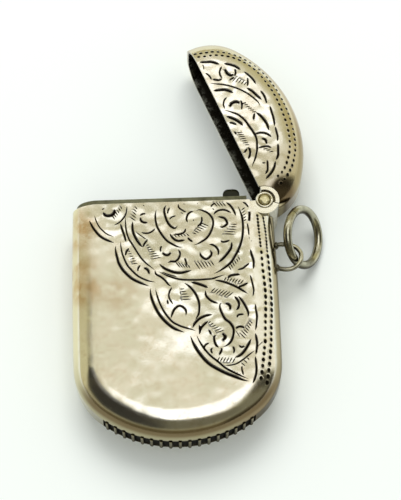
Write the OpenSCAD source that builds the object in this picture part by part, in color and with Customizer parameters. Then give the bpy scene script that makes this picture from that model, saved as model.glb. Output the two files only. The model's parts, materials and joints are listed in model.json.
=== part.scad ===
// Vesta case: a flat silver match box with a side-hinged lid, a ribbed striker on its
// bottom end and a ring for a watch chain. It lies on its back with the lid open.
// X runs across the case, Y from the striker to the mouth, Z from the back to the front.

/* [Case] */
// Width across the sides
case_w = 32.6; // [29:0.2:40]
// Thickness over the front and back faces
case_t = 10.2; // [9:0.1:12]
// Length of the body, from the mouth to the striker end
body_l = 39; // [34:0.5:48]
// Height of the lid above the mouth
lid_h = 11.9; // [10.7:0.1:15]
// Radius of the bottom corners
corner_r = 10.3; // [8:0.1:11.5]
// Radius of the lid's corners
lid_corner_r = 8.2; // [6.5:0.1:9]

/* [Sheet] */
// Thickness of the silver sheet
wall = 0.55; // [0.4:0.05:0.7]
// Radius of the rolled edge between a face and the side
roll_r = 4.2; // [3.2:0.1:4.6]
// Film of solder between pieces that are fixed together
solder = 0.03; // [0.02:0.01:0.06]
// Gap between the lid's rim and the body's rim when shut
lid_gap = 0.1; // [0.06:0.01:0.2]

/* [Bezel and spring] */
// Thickness of the bezel strip inside the mouth
bezel_t = 0.35; // [0.25:0.05:0.5]
// How far the bezel stands above the mouth
bezel_rise = 0.95; // [0.6:0.05:1.6]
// How far the bezel reaches down inside the body
bezel_depth = 2.6; // [1.5:0.1:5]
// Clearance between the bezel and the inside of the lid
bezel_gap = 0.12; // [0.06:0.02:0.25]
// Width of the snap spring
spring_w = 2.7; // [1.8:0.1:3.6]
// Distance of the snap spring from the bezel's end at the hinge
spring_off = 1.1; // [0.2:0.1:6]
// Thickness of the snap spring
spring_t = 0.35; // [0.2:0.05:0.45]
// How far the snap spring's curled tip stands above the mouth
spring_rise = 2.15; // [1.8:0.05:3]
// Length of the snap spring below the mouth
spring_l = 9; // [6:0.5:14]
// Outer radius of the snap spring's curled tip
spring_curl_r = 0.8; // [0.6:0.05:0.85]

/* [Hinge] */
// Radius of the hinge pin
pin_r = 0.85; // [0.6:0.05:1]
// Outer radius of the hinge knuckles
knuckle_r = 1.45; // [1.2:0.05:1.6]
// Outer radius of the bearers that carry the knuckles
bearer_r = 2.4; // [2.2:0.05:2.8]
// Gap between the lid's bearer and the knuckles that it swings round
swing_gap = 0.34; // [0.2:0.02:0.45]
// Running clearance of the pin, the knuckles and the bearers
running_gap = 0.04; // [0.02:0.01:0.08]
// How far the ends of the bearers lie below the front and back faces
bearer_inset = 0.3; // [0.2:0.05:0.6]
// How far the knuckles stand out of the ends of the bearers
knuckle_proud = 0.1; // [0.05:0.01:0.2]
// How far the pin's domed ends stand out of the knuckles
pin_proud = 0.08; // [0.04:0.01:0.12]
// Angle of the lid from shut to its stop, in degrees
open_angle = 68; // [45:1:80]

/* [Striker] */
// Length of the striker along the curved end
striker_l = 25.6; // [14:0.2:25.8]
// Width of the striker across the thickness of the case
striker_w = 3.3; // [2:0.1:3.7]
// Thickness of the striker's backing strip
striker_t = 0.8; // [0.6:0.05:1.2]
// Depth of the striker's backing below the end's surface
striker_recess = 0.3; // [0.15:0.05:0.45]
// Spacing of the striker's ribs
rib_pitch = 1.5; // [1:0.02:2.4]
// Radius of a rib's rounded crest
rib_r = 0.4; // [0.2:0.02:0.46]

/* [Loop and ring] */
// Distance from the mouth down to the chain loop
loop_drop = 8.4; // [7:0.1:16]
// Height of the chain loop above the middle of the thickness
loop_lift = 0.8; // [0.4:0.05:1.2]
// Radius of the loop's wire
loop_wire_r = 0.36; // [0.28:0.02:0.45]
// Radius of the loop's bend, at the middle of the wire
loop_r = 1.9; // [1.75:0.05:2.6]
// Length of the loop's straight legs
loop_leg = 1.95; // [1.6:0.05:2.6]
// Thickness of the loop's soldered foot
foot_t = 0.4; // [0.3:0.05:0.7]
// Radius of the jump ring, at the middle of the wire
ring_r = 4.55; // [4.2:0.05:5.5]
// Radius of the jump ring's wire
ring_wire_r = 0.7; // [0.5:0.02:0.75]
// Lean of the ring from lying flat, in degrees
ring_lean = 55; // [50:1:62]
// Turn of the ring about the upright, in degrees
ring_turn = -14; // [-20:1:0]
// Play between the ring's wire and the inside of the loop's bend
ring_play = 0.4; // [0.35:0.05:0.8]
// Width of the saw cut where the ring's ends meet
ring_cut = 0.12; // [0.08:0.01:0.2]
// Place of the saw cut round the ring, in degrees
ring_cut_at = 150; // [110:5:240]
// Height of the ring's lowest point above the table
ring_rest = 0.04; // [0.02:0.01:0.1]

/* [Hidden] */
$fa = 2;
$fs = 0.2;

silver = [0.80, 0.77, 0.69];
dull_silver = [0.62, 0.60, 0.50];
dark_silver = [0.24, 0.23, 0.19];
bright_silver = [0.87, 0.85, 0.79];

// Margin by which a cutting shape passes what it cuts
cut = 3;
far = 2 * (case_w + body_l);

mid_z = case_t / 2;
mouth_y = body_l / 2;
side_flat = case_t - 2 * roll_r;

half_w = case_w / 2;

// A corner's arc meets the end's arc on a slope of three to four, which sets the end's radius
slope = [0.6, -0.8];
base_r = corner_r + (half_w - corner_r) / slope.x;
top_r = lid_corner_r + (half_w - lid_corner_r) / slope.x;

// The hinge's axis lies in the plane of the mouth, with the barrel flush with the side
hinge_x = half_w - knuckle_r;
bearer_low = bearer_inset;
bearer_high = case_t - bearer_inset;
knuckle_low = bearer_low - knuckle_proud;
knuckle_high = bearer_high + knuckle_proud;
knuckle_l = (knuckle_high - knuckle_low - 2 * running_gap) / 3;

// Ends of the two bearers, in degrees about the hinge. The lid's one is given as shut.
bearer_notch = 8;
body_bearer_from = 180 + bearer_notch / 2;
body_bearer_to = 340;
stop_gap = 4;
lid_bearer_from = open_angle + body_bearer_to - 360 + stop_gap;
lid_bearer_to = 180 - bearer_notch;

// Middle of the chain loop's bend, beyond its legs and its foot
loop_z = mid_z + loop_lift;
loop_y = mouth_y - loop_drop;
loop_x = half_w + solder + foot_t + loop_leg;

// The ring rests on the table and passes through the loop, close to its bend
loop_hole = [loop_x + loop_r - loop_wire_r - ring_wire_r - ring_play, loop_y];
ring_z = ring_r * sin(ring_lean) + ring_wire_r + ring_rest;
ring_phase = -acos((ring_z - loop_z) / (ring_r * sin(ring_lean)));
ring_step = ring_r * [cos(ring_phase) * cos(ring_lean), sin(ring_phase)];
ring_xy = loop_hole - [
  ring_step.x * cos(ring_turn) - ring_step.y * sin(ring_turn),
  ring_step.x * sin(ring_turn) + ring_step.y * cos(ring_turn)
];

function direction(a) = [cos(a), sin(a)];

// Shells

// Half section of a rolled edge with its outer side at x = r, down to the height low
module rolled_section(r, inset, low) {
  bend = roll_r - inset;
  translate([0, low]) square([r - bend, case_t - inset - low]);
  translate([0, low]) square([r, case_t - roll_r - low]);
  translate([r - bend, case_t - roll_r]) intersection() {
    circle(bend);
    square(bend);
  }
}

// Part of a disc with a rolled edge, inside the wedge from its centre to the given corners
module rolled_wedge(centre, r, inset, low, corners) {
  intersection() {
    translate(centre) rotate_extrude() rolled_section(r - inset, inset, low);
    translate([centre.x, centre.y, low - cut]) linear_extrude(case_t + 2 * cut)
      polygon(concat([[0, 0]], far * corners));
  }
}

// Front half of a solid that is cut off above y = 0 and rounded at its end, y = -length.
// An inset of the sheet's thickness gives the hollow.
module half_solid(length, end_rad, corner_rad, inset, low) {
  end_c = [0, end_rad - length];
  corner_c = end_c + (end_rad - corner_rad) * slope;
  intersection() {
    translate([0, cut, 0]) rotate([90, 0, 0]) linear_extrude(length + cut)
      for (flip = [0, 1]) mirror([flip, 0]) rolled_section(half_w - inset, inset, low);
    translate([0, 0, low - cut]) linear_extrude(case_t + 2 * cut)
      polygon([[-case_w, 2 * cut], [-case_w, corner_c.y], [-corner_c.x, corner_c.y], end_c,
        corner_c, [case_w, corner_c.y], [case_w, 2 * cut]]);
  }
  for (flip = [0, 1]) mirror([flip, 0, 0])
    rolled_wedge(corner_c, corner_rad, inset, low, [slope, [1, -1], [1, 0]]);
  rolled_wedge(end_c, end_rad, inset, low, [[-slope.x, slope.y], slope]);
}

module half_shell(length, end_rad, corner_rad) {
  difference() {
    half_solid(length, end_rad, corner_rad, 0, mid_z);
    half_solid(length, end_rad, corner_rad, wall, mid_z - cut);
    translate([-case_w, 0, -cut]) cube([2 * case_w, far, case_t + 2 * cut]);
  }
}

module hinge_notch() {
  translate([hinge_x, mouth_y, -cut]) cylinder(r = bearer_r + solder, h = case_t + 2 * cut);
}

module body_half() {
  difference() {
    translate([0, mouth_y, 0]) half_shell(body_l, base_r, corner_r);
    hinge_notch();
    striker_slot();
  }
}

module lid_half() {
  difference() {
    translate([0, mouth_y + lid_gap, 0]) mirror([0, 1, 0])
      half_shell(lid_h - lid_gap, top_r, lid_corner_r);
    hinge_notch();
  }
}

// Turns a front piece over about the middle of the thickness
module to_back() {
  translate([0, 0, case_t]) mirror([0, 0, 1]) children();
}

// Turns the shut lid about the hinge to its open stop
module opened() {
  translate([hinge_x, mouth_y, 0]) rotate([0, 0, -open_angle]) translate([-hinge_x, -mouth_y, 0])
    children();
}

module body_front_shell() {
  color(silver) body_half();
}

module body_back_shell() {
  color(silver) to_back() body_half();
}

module lid_front_shell() {
  color(silver) opened() lid_half();
}

module lid_back_shell() {
  color(silver) opened() to_back() lid_half();
}

// Bezel and snap spring

bezel_out = wall + bezel_gap;
bezel_end_x = hinge_x - bearer_r - bezel_gap - bezel_t;

// Section across the mouth with rounded corners, inset from the outside of the case
module mouth_section(inset) {
  r = roll_r - inset;
  flat = half_w - roll_r;
  for (x = [-flat, flat], z = [roll_r, case_t - roll_r]) translate([x, z]) circle(r);
  translate([inset - half_w, roll_r]) square([case_w - 2 * inset, side_flat]);
  translate([-flat, inset]) square([2 * flat, case_t - 2 * inset]);
}

module mouth_bezel() {
  color(dull_silver)
    translate([0, mouth_y + bezel_rise, 0]) rotate([90, 0, 0])
      linear_extrude(bezel_rise + bezel_depth) intersection() {
        difference() {
          mouth_section(bezel_out);
          mouth_section(bezel_out + bezel_t);
        }
        translate([-case_w, 0]) square([case_w + bezel_end_x, case_t]);
      }
}

spring_z = case_t - bezel_out - bezel_t - solder - spring_t;
spring_x = bezel_end_x - spring_off - spring_w;

// The strip lies against the bezel, and its tip curls back over the mouth
module spring_section() {
  curl_y = spring_rise - spring_curl_r;
  translate([-spring_l, 0]) square([spring_l + curl_y, spring_t]);
  translate([curl_y, spring_t - spring_curl_r]) intersection() {
    difference() {
      circle(spring_curl_r);
      circle(spring_curl_r - spring_t);
    }
    translate([0, -cut]) square([cut, 2 * cut]);
  }
}

module snap_spring() {
  color(dark_silver)
    translate([spring_x, mouth_y, spring_z]) rotate([90, 0, 90])
      linear_extrude(spring_w) spring_section();
}

// Striker

base_centre = [0, base_r - mouth_y];
striker_half = striker_l / 2 / base_r * 180 / PI;

module base_arc(r_in, r_out, half, width) {
  translate([base_centre.x, base_centre.y, mid_z - width / 2]) rotate([0, 0, -90 - half])
    rotate_extrude(angle = 2 * half) translate([r_in, 0]) square([r_out - r_in, width]);
}

module striker_slot() {
  base_arc(base_r - roll_r, base_r + cut, striker_half, striker_w);
}

module striker_strip() {
  backing_r = base_r - striker_recess;
  clear = solder / base_r * 180 / PI;
  ribs = floor(striker_l / rib_pitch);
  width = striker_w - 2 * solder;
  color(dark_silver) {
    base_arc(backing_r - striker_t, backing_r, striker_half - clear, width);
    for (i = [0:ribs - 1]) {
      a = (i - (ribs - 1) / 2) * rib_pitch / base_r * 180 / PI - 90;
      place = base_centre + backing_r * direction(a);
      translate([place.x, place.y, mid_z - width / 2]) cylinder(r = rib_r, h = width);
    }
  }
}

// Hinge

// Part of a tube about the hinge's axis, between two angles
module hinge_arc(r_in, r_out, low, high, from, to) {
  translate([hinge_x, mouth_y, low]) rotate([0, 0, from])
    rotate_extrude(angle = to - from) translate([r_in, 0]) square([r_out - r_in, high - low]);
}

module knuckle(place) {
  low = knuckle_low + place * (knuckle_l + running_gap);
  translate([hinge_x, mouth_y, low]) difference() {
    cylinder(r = knuckle_r, h = knuckle_l);
    translate([0, 0, -cut]) cylinder(r = pin_r + running_gap, h = knuckle_l + 2 * cut);
  }
}

module body_knuckle_back() {
  color(bright_silver) knuckle(0);
}

module body_knuckle_front() {
  color(bright_silver) knuckle(2);
}

module lid_knuckle() {
  color(bright_silver) knuckle(1);
}

module body_bearer() {
  color(bright_silver)
    hinge_arc(knuckle_r + running_gap, bearer_r, bearer_low, bearer_high,
      body_bearer_from, body_bearer_to);
}

// The lid's bearer is soldered to the middle knuckle and stands off from the outer two
module lid_bearer() {
  middle_low = knuckle_low + knuckle_l + 2 * running_gap;
  middle_high = middle_low + knuckle_l - 2 * running_gap;
  color(bright_silver) opened() {
    hinge_arc(knuckle_r + swing_gap, bearer_r, bearer_low, bearer_high,
      lid_bearer_from, lid_bearer_to);
    hinge_arc(knuckle_r + solder, bearer_r, middle_low, middle_high,
      lid_bearer_from, lid_bearer_to);
  }
}

// The pin's ends are riveted to a low dome
module hinge_pin() {
  dome = 2 * pin_proud;
  low = knuckle_low - pin_proud;
  high = knuckle_high + pin_proud;
  color(silver) translate([hinge_x, mouth_y, 0]) rotate_extrude()
    polygon([[0, low], [pin_r - dome, low], [pin_r, low + pin_proud],
      [pin_r, high - pin_proud], [pin_r - dome, high], [0, high]]);
}

// Chain loop and jump ring

// A wire staple on a small foot that is soldered to the seam of the side
module chain_loop() {
  color(dull_silver)
    translate([loop_x, loop_y, loop_z]) {
      rotate([0, 0, -90]) rotate_extrude(angle = 180) translate([loop_r, 0]) circle(loop_wire_r);
      for (y = [-loop_r, loop_r]) translate([-loop_leg, y, 0]) rotate([0, 90, 0])
        cylinder(r = loop_wire_r, h = loop_leg);
      translate([-loop_leg - foot_t, 0, 0]) rotate([0, 90, 0]) linear_extrude(foot_t) {
        square([2 * loop_wire_r, 2 * loop_r], center = true);
        for (y = [-loop_r, loop_r]) translate([0, y]) circle(loop_wire_r);
      }
    }
}

module jump_ring() {
  color(dull_silver)
    translate([ring_xy.x, ring_xy.y, ring_z]) rotate([0, ring_lean, ring_turn]) difference() {
      rotate_extrude() translate([ring_r, 0]) circle(ring_wire_r);
      rotate([0, 0, ring_cut_at]) translate([ring_r - cut / 2, -ring_cut / 2, -cut])
        cube([cut, ring_cut, 2 * cut]);
    }
}

body_front_shell();
body_back_shell();
mouth_bezel();
snap_spring();
striker_strip();
body_bearer();
body_knuckle_front();
body_knuckle_back();
hinge_pin();
lid_front_shell();
lid_back_shell();
lid_bearer();
lid_knuckle();
chain_loop();
jump_ring();
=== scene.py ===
"""Looks of the vesta case: smooth engraved shells, punched dots, worn silver, camera and light."""

import json
import math

import bmesh
import bpy
import numpy as np
from mathutils import Matrix, Vector
from mathutils.geometry import delaunay_2d_cdt


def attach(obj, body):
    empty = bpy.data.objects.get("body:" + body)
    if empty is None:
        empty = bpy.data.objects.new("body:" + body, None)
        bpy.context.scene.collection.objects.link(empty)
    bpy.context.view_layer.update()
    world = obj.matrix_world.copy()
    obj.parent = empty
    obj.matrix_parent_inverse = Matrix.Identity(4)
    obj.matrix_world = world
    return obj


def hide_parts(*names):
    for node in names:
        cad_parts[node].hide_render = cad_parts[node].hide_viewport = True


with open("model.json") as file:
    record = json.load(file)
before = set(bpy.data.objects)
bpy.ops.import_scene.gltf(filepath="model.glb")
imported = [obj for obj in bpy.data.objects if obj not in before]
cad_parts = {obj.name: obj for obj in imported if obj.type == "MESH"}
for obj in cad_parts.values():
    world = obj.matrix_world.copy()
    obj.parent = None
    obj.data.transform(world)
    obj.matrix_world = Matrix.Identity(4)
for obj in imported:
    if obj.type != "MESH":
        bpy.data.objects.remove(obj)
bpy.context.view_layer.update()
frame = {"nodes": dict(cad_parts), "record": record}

# Sizes in millimetres, the same as in the part's source
MM = 0.001
HALF_W, CASE_T, ROLL, WALL = 16.3, 10.2, 4.2, 0.55
MID_Z, ROLL_Z = CASE_T / 2, CASE_T - ROLL
MOUTH_Y, LID_Y = 19.5, 19.6
HINGE_X, NOTCH_R = 14.85, 2.43
OPEN = math.radians(68)
BASE_R, BASE_CENTRE = 20.3, (0.0, 0.8)
SLOT_TOP = MID_Z + 1.65

# The two forms of half shell. The bow makes the sides fuller, and the crown is how far in and how deep the face falls.
# Their corners meet the rounded end on a slope of three to four.
BODY = {"length": 39.0, "end_r": BASE_R, "corner_r": 10.3, "hinge_y": 0.0, "slot": 12.8 / BASE_R, "bow": 0.26,
        "crown": (5.4, 0.12)}
LID = {"length": 11.8, "end_r": 21.7, "corner_r": 8.2, "hinge_y": 0.1, "slot": None, "bow": 0.0, "crown": (6.0, 0.45)}
MEET_SIN, MEET_COS = 0.6, 0.8

# Mesh of a half shell: where its walls stand inside the outer line, and the steps along its edge
EDGE = 0.07
INNER_EDGE = WALL + EDGE + 0.01
SIDE_STEP, CORNER_STEPS, BESIDE_SLOT, SLOT_STEPS, RIGHT_STEPS = 0.5, 30, 3, 60, 110
NOTCH_STEPS, MOUTH_STEPS, BEND_STEPS = 26, 50, 10
# Angles of the rings round its roll, outside and inside, rings past the roll, and the grid of points on its face
ROLL_TURNS, IN_TURNS, FACE_RINGS = range(10, 91, 8), range(15, 91, 15), (0.25, 0.6, 1.1)
GRID_HALF, GRID_X, GRID_Y, GRID_IN, MARGIN = 15, 0.5, 0.433, 1.3, 0.1
# How far in from the outer line its side reaches
SIDE_REACH = 3.0

# Engraving: width, run, least gap and swell of the hatching, steepness and width of the cuts, depth of a dark cut, and
# how far from its middle a cut may reach
HATCH_W, HATCH_RUN, HATCH_GAP, HATCH_SWELL = 0.22, 1.5, 0.39, (0.4, 1.0, 1.0, 0.8, 0.0)
CUT_SLOPE, CUT_WIDTH, DARK_CUT = 0.66, 1.4, 0.07
CUT_REACH = 0.3

# Punched dots: height of the rim, size of each to the size in its row, steps along a row's line, and sides
DOT_RIM, DOT_SIZE, DOT_STEP, DOT_SIDES = 0.014, 1.4, 0.2, 18

# Corner of the engraved field, and the way from its border to the plain part
FIELD_CORNER, OFF_FIELD = (-9.5, 13), (-0.757, -0.654)

# Wear of the faces: height of the long waves, swell of the middle, number of dents, number and height of the ripples,
# and fall of the plain part. It fades out between two distances from the outer line.
LONG_WAVE, SWELL, DENTS, RIPPLES, RIPPLE, PLAIN_FALL = 0.04, 0.32, 30, 40, 0.022, 0.03
SWELL_AT, SWELL_SPREAD, FADE_FROM, FADE_OVER = (1, -1.5), (32, 18), 1.2, 3
# The corner of the body that falls most, how wide that is, and how far in the roll goes over into the crown
FALL_AT, FALL_SPREAD, CROWN_START = (-13, -9), 72, 3

# Striker: ribs half sunk in a strip, how dark the painted shade on their lower ends is at least, and the strip from
# inner to outer radius and from back to front
RIB_COUNT, RIB_R, RIB_W, RIB_LINE, RIB_REACH = 17, 0.31, 3.16, BASE_R - 0.12, 12.0
RIB_FOOT_SHADE = 0.34
STRIP_IN, STRIP_OUT, STRIP_BACK, STRIP_FRONT, STRIP_REACH = 19.55, 20.02, 3.5, 6.7, 12.75

# Snap spring: steps across it, middle, half width of its straight tip, radius of the tip's corners, ends, and curl
SPRING_STEPS = (8.18, 8.2, *np.linspace(8.25, 10.81, 24), 10.86, 10.88)
SPRING_X, SPRING_FLAT, SPRING_CORNER, SPRING_TIP, SPRING_ROOT = 9.53, 0.45, 0.9, MOUTH_Y + 2.6, 10.5
CURL_OUT, CURL_IN, CURL_Z = 0.8, 0.45, 8.35

# Chain loop: middle line of its wire, height, wire and solder beads
LOOP_PATH = ((16.4, 13.0), (17.2, 13.22), (18.4, 13.1), (19.7, 12.65), (20.5, 11.5), (20.3, 10.1), (19.3, 9.15),
             (18.0, 8.85), (16.4, 9.15))
LOOP_Z, LOOP_WIRE, LOOP_SIDES, BEAD_R, BEAD_OUT, BEAD_FLAT = 5.9, 0.37, 20, 0.62, 0.12, 0.75

# Hinge pieces as closed lines of radius and height
KNUCKLE_LINE = ((0.93, 6.78), (1.44, 6.78), (1.44, 9.72), (1.4, 9.88), (1.31, 9.99), (1.2, 10.03), (1.09, 9.99),
                (1.0, 9.88), (0.93, 9.7))
PIN_LINE = ((0.0, 0.1), (0.66, 0.12), (0.84, 0.24), (0.84, 9.84), (0.8, 9.98), (0.68, 10.07), (0.4, 10.12),
            (0.0, 10.13))
TURNED_STEPS = 56
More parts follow.
